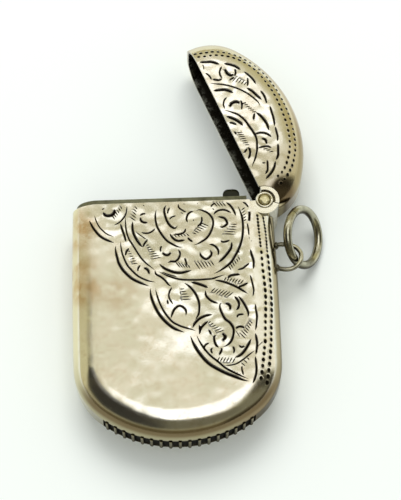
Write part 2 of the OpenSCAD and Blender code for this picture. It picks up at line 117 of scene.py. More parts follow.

# Engraved lines of the body, read off the photograph. Each has its greatest width, then its points.
BODY_LINES = [
    # scalloped border of two lines, from the top left to the bottom right
    (0.36, (-13.42, 16.85), (-12.74, 15.37), (-11.9, 14.16), (-11.16, 13.53), (-10.3, 13.05), (-9.47, 12.72)),
    (0.2, (-12.58, 17.7), (-12.26, 16.53), (-11.74, 15.47), (-10.95, 14.58), (-10.32, 14.1), (-9.47, 13.77)),
    (0.42, (-9.26, 12.25), (-9.26, 11.26), (-9.0, 10.0), (-8.8, 9.16), (-8.26, 8.1), (-7.58, 7.26), (-6.84, 6.53),
     (-6.0, 6.0), (-5.05, 5.53), (-4.1, 5.12)),
    (0.28, (-8.47, 13.05), (-8.42, 12.0), (-8.2, 10.74), (-7.6, 9.05), (-6.95, 8.1), (-6.0, 7.05), (-5.16, 6.47),
     (-4.1, 6.0), (-3.0, 5.74)),
    (0.44, (-3.95, 4.84), (-3.9, 3.7), (-3.58, 2.42), (-3.05, 1.05), (-2.42, -0.1), (-1.58, -1.16), (-0.53, -2.1),
     (0.53, -2.63), (1.26, -2.9)),
    (0.3, (-3.16, 4.84), (-2.95, 3.7), (-2.53, 2.2), (-1.9, 0.74), (-1.26, -0.3), (-0.53, -1.16), (0.53, -1.8),
     (1.58, -2.2), (2.42, -2.47), (3.05, -2.74)),
    (0.48, (2.1, -3.4), (2.47, -4.55), (3.1, -5.8), (3.95, -7.08), (4.9, -8.13), (5.95, -8.87), (7.3, -9.66),
     (8.8, -10.34), (9.95, -10.87), (10.9, -11.16)),
    (0.3, (3.05, -3.35), (3.53, -4.45), (4.26, -5.7), (5.2, -6.87), (6.26, -7.8), (7.3, -8.8), (8.37, -9.5),
     (9.74, -10.24), (10.8, -10.74)),
    # broken line down the right of the field
    (0.26, (11.26, 19.1), (11.74, 18.74), (12.2, 18.05)),
    (0.4, (12.27, 17.45), (12.24, 16.53), (12.12, 15.65)),
    (0.24, (11.79, 15.37), (11.95, 14.3), (12.0, 13.2)),
    (0.3, (12.0, 12.95), (12.05, 12.65)),
    (0.3, (12.25, 12.4), (12.35, 12.15)),
    (0.36, (12.05, 10.9), (12.2, 10.0), (12.42, 9.16), (12.5, 8.4), (12.35, 7.4)),
    (0.28, (11.8, 6.53), (12.05, 5.47), (12.2, 4.53), (12.26, 3.7), (12.05, 2.74)),
    (0.32, (12.37, 1.68), (12.46, 0.53), (12.55, -0.6), (12.42, -1.92), (12.22, -2.9)),
    (0.36, (12.2, -3.3), (12.3, -4.13), (12.39, -4.97), (12.3, -6.0), (12.1, -6.9)),
    (0.36, (12.03, -7.08), (12.1, -8.24), (12.14, -9.18), (12.0, -10.24), (11.68, -11.08), (11.42, -11.5)),
    # great circle and the stem that leaves it
    (0.24, (-7.32, 19.0), (-7.42, 18.1), (-7.63, 17.42), (-8.16, 16.63), (-8.74, 16.1), (-9.5, 15.7)),
    (0.26, (-7.63, 17.4), (-7.63, 16.3), (-7.58, 15.26), (-7.42, 14.2), (-7.1, 13.2), (-6.74, 12.55), (-6.1, 11.37),
     (-5.3, 10.0), (-4.53, 9.05), (-3.68, 8.3), (-3.1, 7.75)),
    (0.3, (-3.12, 7.85), (-3.0, 7.15), (-2.2, 6.58), (-1.58, 6.0), (-1.05, 5.25), (-0.6, 4.95)),
    (0.36, (10.42, 18.5), (10.8, 17.47), (11.05, 16.42), (11.12, 15.26), (11.08, 14.1), (10.9, 12.84), (10.58, 11.7),
     (10.16, 10.74), (9.65, 9.8), (9.2, 9.05), (8.74, 8.53), (8.1, 8.0), (7.37, 7.47), (6.63, 7.05), (6.1, 6.82)),
    (0.28, (-2.63, 7.55), (-1.9, 7.15), (-0.95, 6.68), (0.1, 6.28), (1.2, 6.02), (2.6, 5.92), (3.9, 5.9), (5.2, 5.98),
     (6.0, 6.06), (6.8, 6.32), (8.0, 6.66)),
    (0.16, (-2.1, 7.45), (-1.3, 7.1), (-0.4, 6.78), (0.4, 6.55)),
    (0.2, (10.1, 10.5), (10.5, 10.36)),
    # second ring, spiral and volute
    (0.32, (-2.58, 18.3), (-2.8, 17.37), (-2.8, 16.3), (-2.58, 15.26), (-2.2, 14.42), (-1.8, 13.7), (-1.16, 12.84),
     (-0.42, 12.26), (0.68, 11.65), (1.45, 11.56)),
    (0.36, (-1.02, 19.0), (-1.37, 18.1), (-1.26, 17.16), (-0.95, 16.1), (-0.55, 15.4), (-0.15, 15.05), (0.3, 14.92),
     (0.72, 15.32)),
    (0.24, (-0.45, 18.55), (-0.75, 18.0), (-0.85, 17.4)),
    (0.22, (-0.6, 16.4), (-0.16, 16.84), (0.5, 17.05)),
    (0.24, (0.95, 19.1), (0.97, 18.5), (1.5, 18.0), (2.2, 17.58)),
    (0.14, (1.2, 17.63), (1.68, 17.37)),
    (0.22, (1.8, 19.2), (1.9, 18.9)),
    (0.16, (4.0, 19.2), (4.0, 18.9)),
    (0.3, (2.34, 15.75), (2.16, 16.42), (2.37, 17.16), (2.8, 17.6), (3.35, 17.8)),
    (0.32, (3.65, 17.82), (4.26, 17.95), (4.9, 17.74), (5.63, 17.3), (6.22, 16.53), (6.42, 15.75), (6.3, 14.95),
     (5.95, 14.0), (5.3, 13.05), (4.47, 12.42), (3.7, 12.0), (3.15, 11.9)),
    (0.32, (4.6, 16.8), (4.6, 16.0), (4.37, 15.47), (3.8, 15.08)),
    (0.2, (3.27, 16.35), (3.27, 15.95)),
    (0.3, (2.0, 14.85), (1.8, 14.26), (1.3, 13.95), (0.68, 13.8), (0.1, 13.95)),
    (0.34, (-0.6, 14.0), (-0.26, 13.37), (0.26, 12.84), (0.9, 12.68), (1.85, 12.82)),
    (0.3, (2.2, 13.25), (2.58, 12.8), (3.05, 12.45)),
    # leaves inside the great circle
    (0.2, (-11.42, 18.55), (-10.92, 18.74)),
    (0.46, (-11.2, 18.1), (-10.84, 17.55), (-10.32, 17.42), (-9.79, 17.56), (-9.42, 17.95), (-9.34, 18.6)),
    (0.34, (-8.47, 16.0), (-8.1, 14.74), (-7.8, 13.7), (-7.56, 12.7)),
    (0.32, (-7.1, 11.68), (-7.53, 11.16), (-7.76, 10.42)),
    (0.4, (-6.47, 16.3), (-6.53, 15.26), (-6.37, 14.2), (-5.95, 13.16), (-5.42, 12.3), (-4.95, 11.75)),
    (0.3, (-4.97, 11.8), (-4.63, 12.42), (-4.1, 13.1)),
    (0.28, (-5.3, 17.25), (-4.84, 17.53), (-4.35, 17.57)),
    (0.34, (-5.2, 16.95), (-5.16, 16.42), (-4.74, 16.05), (-4.05, 16.02)),
    (0.26, (-5.2, 14.35), (-4.53, 14.16), (-3.9, 14.2), (-3.37, 14.47), (-2.85, 15.0)),
    (0.24, (-4.8, 19.1), (-4.5, 18.9)),
    (0.28, (-1.95, 11.95), (-2.16, 11.37), (-2.1, 10.9)),
    (0.38, (-1.9, 10.8), (-1.47, 10.37), (-0.95, 10.3), (-0.5, 10.75)),
    (0.32, (0.63, 11.25), (0.9, 10.7), (0.92, 10.2), (0.6, 9.55), (0.1, 9.17), (-0.5, 9.2), (-1.1, 9.0)),
    (0.3, (1.63, 9.75), (1.84, 9.05), (1.98, 8.35)),
    (0.4, (-2.45, 8.88), (-1.68, 8.1), (-0.74, 7.58), (0.1, 7.26), (1.05, 7.18), (1.9, 7.37), (2.72, 7.58)),
    (0.36, (4.1, 10.7), (4.2, 10.1), (4.6, 9.6), (5.05, 9.37), (5.45, 9.57), (5.85, 10.0), (5.95, 10.4), (5.68, 11.0)),
    (0.32, (5.6, 11.95), (6.26, 11.74), (6.8, 11.26), (7.05, 10.63), (6.95, 9.95)),
    (0.3, (6.5, 16.95), (6.84, 17.42), (7.42, 17.74), (8.16, 17.8), (8.8, 17.56), (9.4, 17.22)),
    (0.36, (7.1, 16.65), (7.74, 16.53), (8.26, 16.3), (8.58, 15.74), (8.63, 15.37), (8.26, 15.0), (7.74, 14.8),
     (7.4, 15.0)),
    (0.32, (8.63, 19.1), (9.26, 18.5), (9.74, 17.7), (10.1, 16.65)),
    (0.24, (6.1, 18.35), (6.45, 18.8), (6.9, 19.08)),
    (0.24, (6.35, 18.15), (6.7, 17.85)),
    (0.4, (9.26, 12.25), (9.1, 11.26), (8.68, 10.53), (8.1, 9.8), (7.6, 9.3), (6.95, 8.72)),
    (0.3, (7.42, 12.5), (7.74, 12.26), (8.16, 12.26), (8.95, 12.52)),
    # leaves between the circle and the border
    (0.28, (-5.4, 8.75), (-5.74, 8.26), (-5.86, 7.7)),
    (0.38, (-4.9, 8.3), (-4.3, 7.9), (-4.0, 7.15)),
    (0.28, (-0.45, 4.85), (-0.9, 4.1), (-1.05, 3.37), (-0.9, 2.74), (-0.42, 1.85)),
    (0.34, (-1.3, 2.7), (-1.22, 1.9)),
    (0.36, (1.4, 5.5), (2.2, 4.84), (2.95, 3.9), (3.42, 2.95), (3.66, 2.0), (3.68, 1.05), (3.53, 0.1), (2.95, -0.95)),
    (0.36, (-0.86, -0.55), (-0.63, 0.2), (-0.2, 1.05), (0.5, 1.57), (1.16, 1.3), (1.58, 0.63), (1.5, -0.2)),
    (0.4, (2.5, 5.55), (3.37, 5.32), (4.3, 4.95), (5.2, 4.5)),
    (0.34, (6.2, 5.79), (7.05, 5.63), (7.9, 5.37), (8.84, 4.95), (9.8, 4.42), (10.53, 3.9), (11.35, 3.3)),
    (0.3, (9.9, 7.42), (10.74, 7.63), (11.26, 8.05), (11.85, 8.55)),
    (0.38, (8.25, 6.1), (8.84, 6.47), (9.58, 6.6), (10.3, 6.65)),
    (0.34, (9.9, 4.5), (10.63, 4.74), (11.45, 5.17)),
    (0.34, (4.74, 4.1), (4.79, 3.26), (5.16, 2.68), (5.79, 2.16), (6.7, 1.82)),
    # S scroll and the last volute
    (0.38, (7.35, 1.97), (6.97, 1.7), (6.9, 1.05), (7.15, 0.2), (7.6, -0.8), (8.35, -1.5), (8.84, -2.4), (8.84, -3.3),
     (8.58, -4.25), (8.15, -4.87), (7.55, -5.27), (7.05, -5.38)),
    (0.4, (7.75, 1.88), (8.3, 1.58), (8.53, 1.16), (8.42, 0.68)),
    (0.38, (9.24, 3.0), (9.74, 2.2), (9.9, 1.58), (9.74, 0.95), (9.38, 0.6)),
    (0.36, (9.82, 3.0), (10.42, 2.1), (10.95, 1.05), (11.26, 0.1), (11.18, -0.65)),
    (0.3, (9.45, -0.7), (9.74, -0.2), (10.6, -0.12)),
    (0.4, (2.45, -2.25), (2.9, -1.45), (3.6, -0.72), (4.4, -0.3), (5.0, -0.12), (5.7, -0.05)),
    (0.36, (5.0, -1.1), (4.26, -1.76), (3.79, -2.34), (3.52, -3.3)),
    (0.34, (3.6, -1.85), (3.62, -2.7)),
    (0.3, (5.0, -2.55), (5.4, -3.35)),
    (0.36, (6.2, -3.58), (5.83, -3.68), (5.82, -4.34), (6.05, -5.08), (6.5, -5.52)),
    (0.42, (7.12, -3.2), (7.42, -3.6), (7.58, -3.87), (7.1, -4.38)),
    (0.34, (9.15, -2.5), (9.74, -2.18), (10.26, -2.24), (10.6, -2.52)),
    (0.12, (9.16, -2.76), (9.84, -3.92)),
    (0.4, (11.55, -4.2), (11.0, -5.3), (10.37, -6.24), (9.74, -6.87), (8.85, -7.25)),
    (0.3, (9.6, -5.25), (9.95, -5.55), (10.5, -5.42)),
    (0.32, (8.6, -5.35), (8.84, -5.92), (8.72, -6.55)),
    (0.34, (6.78, -5.55), (6.9, -5.97), (6.45, -6.75)),
    (0.3, (5.5, -5.5), (5.26, -5.92), (5.45, -6.45)),
    (0.28, (5.05, -4.7), (4.47, -4.97), (4.2, -5.5), (4.3, -6.0)),
    (0.22, (7.2, -8.45), (8.16, -8.45), (9.2, -8.18), (10.26, -7.5), (11.2, -6.76), (12.0, -6.15)),
    (0.26, (9.95, -8.6), (9.9, -9.18), (10.12, -10.15)),
    (0.11, (12.47, -5.5), (13.0, -5.0), (13.5, -4.5)),
]

# Rows of short cuts: where they start and end, how many, and the first and the last cut's run
BODY_HATCHES = [
    ((-9.5, 17.05), (-8.25, 18.75), 10, (0.3, -0.5), (0.2, -0.36)),
    ((-6.4, 16.7), (-5.85, 18.6), 10, (0.6, -0.5), (0.24, -0.3)),
    ((-5.55, 14.05), (-4.7, 13.35), 7, (0.5, -0.45), (0.5, -0.4)),
    ((-4.15, 12.1), (-2.75, 9.85), 10, (0.3, 0.02), (1.05, 0.12)),
    ((-7.1, 11.15), (-6.2, 9.05), 8, (0.24, 0.0), (0.6, 0.04)),
    ((5.1, 15.35), (3.4, 13.85), 8, (0.95, -0.5), (0.4, -0.22)),
    ((0.3, 13.55), (2.3, 13.65), 9, (0.35, -0.4), (0.3, -0.3)),
    ((9.85, 15.2), (8.95, 13.55), 6, (0.55, -0.02), (1.4, -0.12)),
    ((6.9, 18.75), (8.3, 18.7), 7, (0.45, -0.6), (0.4, -0.55)),
    ((11.35, 17.9), (11.55, 15.9), 9, (0.4, 0.3), (0.3, 0.22)),
    ((0.55, 8.55), (2.3, 8.2), 7, (0.55, -0.8), (0.25, -0.4)),
    ((3.65, 8.3), (6.05, 8.6), 9, (0.6, -1.05), (0.35, -0.6)),
    ((8.75, 7.75), (10.25, 9.3), 9, (0.3, -0.6), (0.18, -0.4)),
    ((7.95, 5.98), (10.55, 5.4), 11, (0.3, 0.42), (0.4, 0.5)),
    ((6.0, 4.15), (8.65, 3.3), 10, (0.5, 0.5), (0.75, 0.6)),
    ((1.15, 4.42), (1.75, 2.65), 6, (0.45, 0.03), (1.2, 0.02)),
    ((5.2, -1.3), (6.9, -2.85), 9, (0.3, 0.2), (0.85, 0.32)),
    ((11.65, -1.5), (10.3, -3.75), 12, (0.26, -0.34), (0.55, -0.6)),
    ((6.35, -7.4), (8.75, -7.62), 11, (0.36, 0.6), (0.36, 0.6)),
    ((10.15, -8.4), (10.95, -7.5), 6, (0.4, -0.42), (0.22, -0.3)),
    ((7.9, -9.15), (9.5, -10.0), 8, (0.24, 0.2), (0.24, 0.2)),
]

# Engraved lines and rows of cuts of the lid, as it lies when shut
LID_LINES = [
    # broken line inside the dots
    (0.42, (-12.0, 19.95), (-11.67, 20.83), (-11.22, 21.83), (-10.25, 22.88)),
    (0.42, (-10.12, 23.55), (-9.67, 24.28), (-9.0, 25.06), (-7.95, 25.7)),
    (0.34, (-7.5, 25.97), (-6.44, 26.5), (-5.56, 26.78), (-4.45, 26.9)),
    (0.34, (-3.2, 27.04), (-2.2, 27.2), (-1.33, 27.17), (-0.5, 26.98)),
    (0.36, (0.0, 27.27), (1.0, 27.12), (2.1, 26.94), (3.0, 26.72), (3.8, 26.38)),
    (0.32, (3.85, 26.46), (4.78, 26.28), (5.67, 26.1), (6.38, 25.7)),
    (0.4, (6.78, 25.62), (7.78, 25.2), (8.67, 24.78), (9.36, 24.08)),
    (0.38, (9.45, 23.98), (10.33, 23.33), (11.1, 22.44), (11.75, 21.1)),
    # circles that carry on from the body
    (0.26, (-7.78, 19.95), (-7.22, 20.83), (-6.56, 21.94), (-5.67, 23.06), (-4.67, 24.06), (-3.56, 24.83),
     (-2.44, 25.4), (-1.33, 25.78), (-0.3, 25.82)),
    (0.46, (-6.2, 19.9), (-6.06, 20.6), (-5.56, 21.83), (-4.55, 22.83)),
    (0.34, (-2.3, 20.05), (-1.44, 21.06), (-0.56, 21.83), (0.78, 22.42), (2.1, 22.62), (3.0, 22.76), (3.9, 22.82),
     (4.67, 22.76), (5.67, 22.4), (6.78, 21.83), (7.78, 21.06), (8.44, 20.4), (9.0, 19.9)),
    (0.46, (-1.1, 19.9), (-0.67, 20.4), (0.1, 21.06), (1.0, 21.58), (1.6, 21.75)),
    (0.34, (0.12, 19.9), (0.44, 20.4), (1.0, 20.85)),
    # leaves
    (0.34, (-8.55, 24.85), (-7.89, 24.72), (-7.3, 24.25)),
    (0.46, (-7.66, 24.25), (-7.67, 23.72), (-8.2, 23.33), (-9.15, 23.28)),
    (0.3, (-9.8, 23.1), (-9.2, 22.44), (-8.44, 22.14), (-7.6, 22.2)),
    (0.34, (-7.64, 22.15), (-7.67, 21.5), (-8.25, 20.65)),
    (0.26, (-9.78, 20.05), (-9.1, 20.4), (-8.15, 20.52)),
    (0.16, (-11.44, 20.28), (-10.9, 20.26), (-10.4, 20.06)),
    (0.32, (-7.12, 24.1), (-6.98, 23.25)),
    (0.3, (-6.22, 26.1), (-5.44, 25.83), (-4.72, 25.4)),
    (0.4, (-4.55, 25.15), (-3.67, 25.67), (-2.56, 26.1), (-1.45, 26.53)),
    (0.26, (-4.3, 21.55), (-3.89, 20.83), (-3.2, 20.4), (-2.4, 20.28)),
    (0.5, (-2.4, 23.0), (-2.9, 22.4), (-2.9, 21.72), (-2.45, 21.18)),
    (0.2, (-2.06, 24.0), (-2.12, 23.1)),
    (0.3, (-2.85, 23.32), (-2.0, 23.17), (-1.18, 22.74)),
    (0.3, (1.9, 19.9), (2.15, 20.05), (2.6, 20.1)),
    (0.38, (5.4, 20.9), (6.1, 20.92), (6.78, 20.6), (7.36, 20.02)),
    (0.42, (5.62, 20.65), (6.0, 20.06), (6.05, 19.9)),
    (0.42, (0.18, 24.65), (1.0, 25.06), (2.0, 25.33), (3.0, 25.44), (4.15, 25.26)),
    (0.36, (0.3, 24.42), (0.78, 24.06), (1.36, 23.76)),
    (0.36, (3.78, 22.8), (3.83, 23.6), (4.22, 24.4), (4.9, 24.94), (5.4, 25.12)),
    (0.38, (4.9, 23.55), (5.4, 24.0), (6.15, 23.92)),
    (0.3, (6.2, 22.35), (6.33, 23.17), (6.56, 23.83), (7.1, 24.36)),
    (0.34, (8.72, 22.8), (9.67, 22.44), (10.44, 22.06), (10.95, 21.4)),
    (0.28, (9.14, 22.32), (8.9, 21.78)),
]
LID_HATCHES = [
    ((-6.75, 23.95), (-5.3, 25.3), 12, (0.4, -0.75), (0.3, -0.5)),
    ((-1.7, 23.85), (0.05, 24.55), 9, (0.14, 0.4), (0.14, 0.4)),
    ((2.5, 20.75), (5.0, 21.0), 9, (0.3, 0.75), (0.2, 0.42)),
    ((6.85, 23.5), (7.7, 24.1), 5, (0.12, 0.4), (0.12, 0.36)),
]

# Rows of punched dots: spacing, size of a dot along and across the row, then the row's points
BODY_DOTS = [
    (0.56, 0.2, 0.17, (13.5, 16.7), (13.58, 14.5), (13.72, 11.5)),
    (1.06, 0.29, 0.23, (13.78, 10.4), (13.85, 7.5), (14.0, 5.0), (14.05, 3.0), (13.95, 0.5), (13.85, -1.0),
     (13.75, -3.0), (13.65, -4.6)),
    (0.98, 0.27, 0.24, (13.5, -5.7), (13.2, -8.0), (12.9, -10.0), (12.8, -10.6)),
    (0.55, 0.2, 0.17, (14.45, 16.4), (14.65, 14.0), (14.72, 10.8)),
    (0.98, 0.31, 0.27, (14.78, 9.9), (14.85, 8.5), (14.9, 6.0), (14.95, 3.0), (14.85, 0.0), (14.7, -2.0), (14.6, -4.2)),
    (1.0, 0.28, 0.26, (14.5, -5.2), (14.2, -8.0), (13.85, -10.5), (13.7, -11.2)),
]
LID_DOTS = [
    (0.94, 0.22, 0.19, (-13.9, 20.05), (-13.4, 21.5), (-12.9, 23.2), (-12.0, 24.9), (-11.0, 26.3), (-9.6, 27.5),
     (-8.2, 28.4), (-6.4, 29.1), (-4.4, 29.55), (-2.2, 29.82), (0.1, 29.85), (2.4, 29.68), (4.6, 29.3), (6.5, 28.8),
     (8.2, 28.15), (9.6, 27.32), (11.0, 26.25), (12.1, 25.0), (12.9, 23.8), (13.2, 23.2)),
    (0.98, 0.23, 0.19, (-13.0, 20.3), (-12.7, 21.1), (-12.2, 22.8), (-11.5, 24.3), (-10.6, 25.6), (-9.5, 26.7),
     (-8.2, 27.55), (-6.7, 28.2), (-4.8, 28.6), (-2.8, 28.9), (-0.5, 28.95), (1.8, 28.8), (4.0, 28.5), (5.9, 28.05),
     (7.5, 27.45), (8.8, 26.75), (10.0, 25.85), (11.1, 24.8), (11.8, 23.8), (12.0, 23.2)),
]


# Shape of a half shell, in its own plan: the mouth on y = 0 and the rounded end at y = -length


def centres(form):
    """Centres of the end's arc and of the right corner's arc, which meet on a slope of three to four."""
    end = np.array([0.0, form["end_r"] - form["length"]])
    return end, end + (form["end_r"] - form["corner_r"]) * np.array([MEET_SIN, -MEET_COS])


def outline(form, inset):
    """Plan line at a distance inside the outer line, as left side and corner, end, right corner and side."""
    end_c, corner_c = centres(form)
    meet = math.atan2(MEET_SIN, MEET_COS)
    slot = form["slot"] or meet * 0.9
    drop = np.linspace(0, corner_c[1], 2 + int(-corner_c[1] / SIDE_STEP))[:-1]
    turn = np.linspace(math.pi / 2, meet, CORNER_STEPS)[:-1]
    corner_r, end_r = form["corner_r"] - inset, form["end_r"] - inset
    side = np.stack([np.full(len(drop), inset - HALF_W), drop], 1)
    corner = np.stack([-corner_c[0] - corner_r * np.sin(turn), corner_c[1] - corner_r * np.cos(turn)], 1)
    before, after = np.linspace(-meet, -slot, BESIDE_SLOT + 1)[:-1], np.linspace(slot, meet, BESIDE_SLOT + 1)[1:]
    angles = np.concatenate([before, np.linspace(-slot, slot, SLOT_STEPS + 1), after])
    end = end_c + end_r * np.stack([np.sin(angles), -np.cos(angles)], 1)
    left = np.concatenate([side, corner])
    return left, end, left[::-1] * [-1, 1]


def edge_distance(form, p):
    """Distance of plan points inside the outer line."""
    end_c, corner_c = centres(form)
    q = np.stack([np.abs(p[:, 0]), p[:, 1]], 1)
    to_end, to_corner = q - end_c, q - corner_c
    in_end = (to_end[:, 1] < 0) & (to_end[:, 0] * MEET_COS <= -to_end[:, 1] * MEET_SIN)
    d = np.where(q[:, 1] >= corner_c[1], HALF_W - q[:, 0], form["corner_r"] - np.hypot(*to_corner.T))
    return np.where(in_end, form["end_r"] - np.hypot(*to_end.T), d)


def rolled_height(d, inset):
    """Height of a sheet this far from the outer line: its outside, or its inside if the inset is its thickness."""
    reach = np.clip(ROLL - d, 0, ROLL - inset)
    return ROLL_Z + np.sqrt(np.maximum((ROLL - inset) ** 2 - reach**2, 0))


def along(points, count):
    """The same line with that many points at even steps."""
    gone = np.concatenate([[0], np.cumsum(np.hypot(*np.diff(points, axis=0).T))])
    at = np.linspace(0, gone[-1], count)
    return np.stack([np.interp(at, gone, points[:, k]) for k in range(points.shape[1])], 1)


def boundary(form, inset):
    """Closed edge of a half shell in plan: the outline up to the hinge's notch, the notch, and the mouth to the start.
    It comes with the number of points on the outline and the point where the striker's slot starts."""
    left, end, right = outline(form, inset)
    hinge = np.array([HINGE_X, form["hinge_y"]])
    far = np.hypot(*(right - hinge).T) - NOTCH_R
    i = int(np.argmax(far < 0))
    crossing = right[i - 1] + (right[i] - right[i - 1]) * far[i - 1] / (far[i - 1] - far[i])
    right = along(np.concatenate([end[-1:], right[:i], [crossing]]), RIGHT_STEPS + 1)[1:]
    line = np.concatenate([left, end, right])
    mouth_x = HINGE_X - math.sqrt(NOTCH_R**2 - form["hinge_y"] ** 2)
    start, stop = math.atan2(*(crossing - hinge)[::-1]), math.asin(form["hinge_y"] / NOTCH_R) - math.pi
    swing = np.linspace(start, stop, NOTCH_STEPS)[1:-1]
    notch = hinge + NOTCH_R * np.stack([np.cos(swing), np.sin(swing)], 1)
    bend = (ROLL - inset) * np.sin(np.linspace(0, math.pi / 2, BEND_STEPS))[1:-1]
    x = np.concatenate([np.linspace(mouth_x, ROLL - HALF_W, MOUTH_STEPS), ROLL - HALF_W - bend])
    mouth = np.stack([x, np.zeros(len(x))], 1)
    return np.concatenate([line, notch, mouth]), len(line), len(left) + BESIDE_SLOT


def smooth_line(points, step=0.14):
    """A smooth line through the points, cut into short even steps."""
    p = np.array(points, float)
    p = np.concatenate([2 * p[:1] - p[1:2], p, 2 * p[-1:] - p[-2:-1]])
    t = np.linspace(0, 1, 12, endpoint=False)[:, None]
    runs = []
    for a, b, c, d in zip(p, p[1:], p[2:], p[3:]):
        runs.append(0.5 * (2 * b + (c - a) * t + (2 * a - 5 * b + 4 * c - d) * t**2 + (3 * b - a - 3 * c + d) * t**3))
    line = np.concatenate(runs + [p[-2:-1]])
    length = np.hypot(*np.diff(line, axis=0).T).sum()
    return along(line, max(4, int(length / step) + 1))


def cuts(lines, hatches):
    """Every engraved cut as its middle line and its half width at each point, thin at the ends as a graver cuts it."""
    out = []
    for width, *points in lines:
        middle = smooth_line(points)
        width = min(width * CUT_WIDTH, 0.5 * np.hypot(*np.diff(middle, axis=0).T).sum())
        swell = np.sin(math.pi * np.linspace(0, 1, len(middle)))
        out.append((middle, width / 2 * np.minimum(1, 1.7 * swell**0.7) * (0.82 + 0.18 * swell)))
    for start, stop, count, first, last in hatches:
        gap = np.hypot(*(np.array(stop) - start)) / (count - 1)
        for t in np.linspace(0, 1, max(3, int(count * min(1, gap / HATCH_GAP)))):
            centre = np.array(start) * (1 - t) + np.array(stop) * t
            run = (np.array(first) * (1 - t) + np.array(last) * t) * HATCH_RUN / 2
            middle = centre + run * np.linspace(-1, 1, len(HATCH_SWELL))[:, None]
            out.append((middle, HATCH_W / 2 * np.array(HATCH_SWELL)))
    return out


def cut_depth(p, engraved):
    """Depth of the V-shaped cuts at plan points."""
    depth = np.zeros(len(p))
    for middle, half in engraved:
        low, high = middle.min(0) - CUT_REACH, middle.max(0) + CUT_REACH
        near = np.nonzero(((p > low) & (p < high)).all(1))[0]
        if not len(near):
            continue
        a, ab = middle[:-1], np.diff(middle, axis=0)
        t = np.clip(((p[near, None] - a) * ab).sum(2) / (ab**2).sum(1), 0, 1)
        gap = np.hypot(*(p[near, None] - a - t[..., None] * ab).transpose(2, 0, 1))
        room = (half[:-1] * (1 - t) + half[1:] * t - gap).max(1)
        depth[near] = np.maximum(depth[near], CUT_SLOPE * room)
    return depth


def wear(p):
    """Waves and dents of the worn face at plan points of the row frame: small in the field, broad on the plain part."""
    rng = np.random.default_rng(11)
    off_field = (p - FIELD_CORNER) @ OFF_FIELD
    z = LONG_WAVE * np.sin(p[:, 0] * 0.42 + 0.6) * np.sin(p[:, 1] * 0.33 - 0.4)
    for _ in range(DENTS):
        spot = rng.uniform([-13, -15], [13, 19])
        size, drop = rng.uniform(0.7, 2.2), rng.uniform(0.006, 0.03)
        z -= drop * np.exp(-((p - spot) ** 2).sum(1) / (2 * size**2))
    # the middle of the body swells a little
    z += SWELL * np.exp(-((p - SWELL_AT) ** 2 / SWELL_SPREAD).sum(1))
    ripple = np.zeros(len(p))
    for _ in range(RIPPLES):
        wave, turn, start = rng.uniform(1.7, 3.6), rng.uniform(0, math.pi), rng.uniform(0, 2 * math.pi)
        ripple += np.cos(2 * math.pi / wave * (p @ [math.cos(turn), math.sin(turn)]) + start) * wave / 2.5
    z += RIPPLE * ripple / math.sqrt(RIPPLES / 2) * (1 - 0.7 * np.clip(off_field / 0.6, 0, 1))
    # the plain lower left falls away a little from the engraved field
    away = np.clip(off_field / 5.5, 0, 1)
    return z - PLAIN_FALL * away**2 * (3 - 2 * away)


def place(form, p, lid):
    """Points of a half shell's own frame, in the row frame."""
    x, y, z = p.T
    # the sides are a little fuller at half length than at the ends
    full = np.clip(1 - ((y + 0.45 * form["length"]) / (0.46 * form["length"])) ** 2, 0, 1)
    x = x + np.sign(x) * form["bow"] * full * np.abs(x / HALF_W) ** 3
    if not lid:
        return np.stack([x, y + MOUTH_Y, z], 1)
    c, s = math.cos(OPEN), math.sin(OPEN)
    dx, dy = x - HINGE_X, LID_Y - y - MOUTH_Y
    return np.stack([HINGE_X + c * dx + s * dy, MOUTH_Y - s * dx + c * dy, z], 1)


def to_plan(p, lid):
    """Plan points of the row frame, the lid's as it lies when shut, in a half shell's own frame."""
    p = np.array(p, float)
    return np.stack([p[:, 0], LID_Y - p[:, 1] if lid else p[:, 1] - MOUTH_Y], 1)


def face_height(form, p, lid, worn):
    """Height of the outside at plan points, without the engraving."""
    d = edge_distance(form, p)
    row = np.stack([p[:, 0], LID_Y - p[:, 1] if lid else p[:, 1] + MOUTH_Y], 1)
    fade = np.clip((d - FADE_FROM) / FADE_OVER, 0, 1)
    # the face falls a little towards the rolled edge, and more at the lower left corner
    reach, fall = form["crown"]
    rise = np.clip(d / CROWN_START, 0, 1)
    fuller = 1 + np.exp(-((row - FALL_AT) ** 2).sum(1) / FALL_SPREAD)
    drop = fall * fuller * np.clip(1 - d / reach, 0, 1) ** 2 * rise**2 * (3 - 2 * rise)
    return rolled_height(d, 0) + worn * (fade * wear(row) - drop)


def skin(form, inset, inner_points, edges):
    """Triangles over the plan of a half shell: points, faces, and where the boundary's points are."""
    edge, count, slot = boundary(form, inset)
    n = len(edge)
    points = np.concatenate([edge] + inner_points)
    ring = [(i, (i + 1) % n) for i in range(n)]
    got = delaunay_2d_cdt([Vector(q) for q in points], ring + [(a + n, b + n) for a, b in edges], [], 1, 1e-6)
    flat = np.array([v[:] for v in got[0]])
    index = {given: i for i, sources in enumerate(got[3]) for given in sources}
    return flat, [list(f) for f in got[2]], [index[i] for i in range(n)], count, slot


def inside(form, p, inset):
    """Plan points that lie well inside a half shell's boundary."""
    off_hinge = np.hypot(p[:, 0] - HINGE_X, p[:, 1] - form["hinge_y"]) > NOTCH_R + MARGIN
    return p[off_hinge & (p[:, 1] < -MARGIN) & (edge_distance(form, p) > inset + 0.02)]


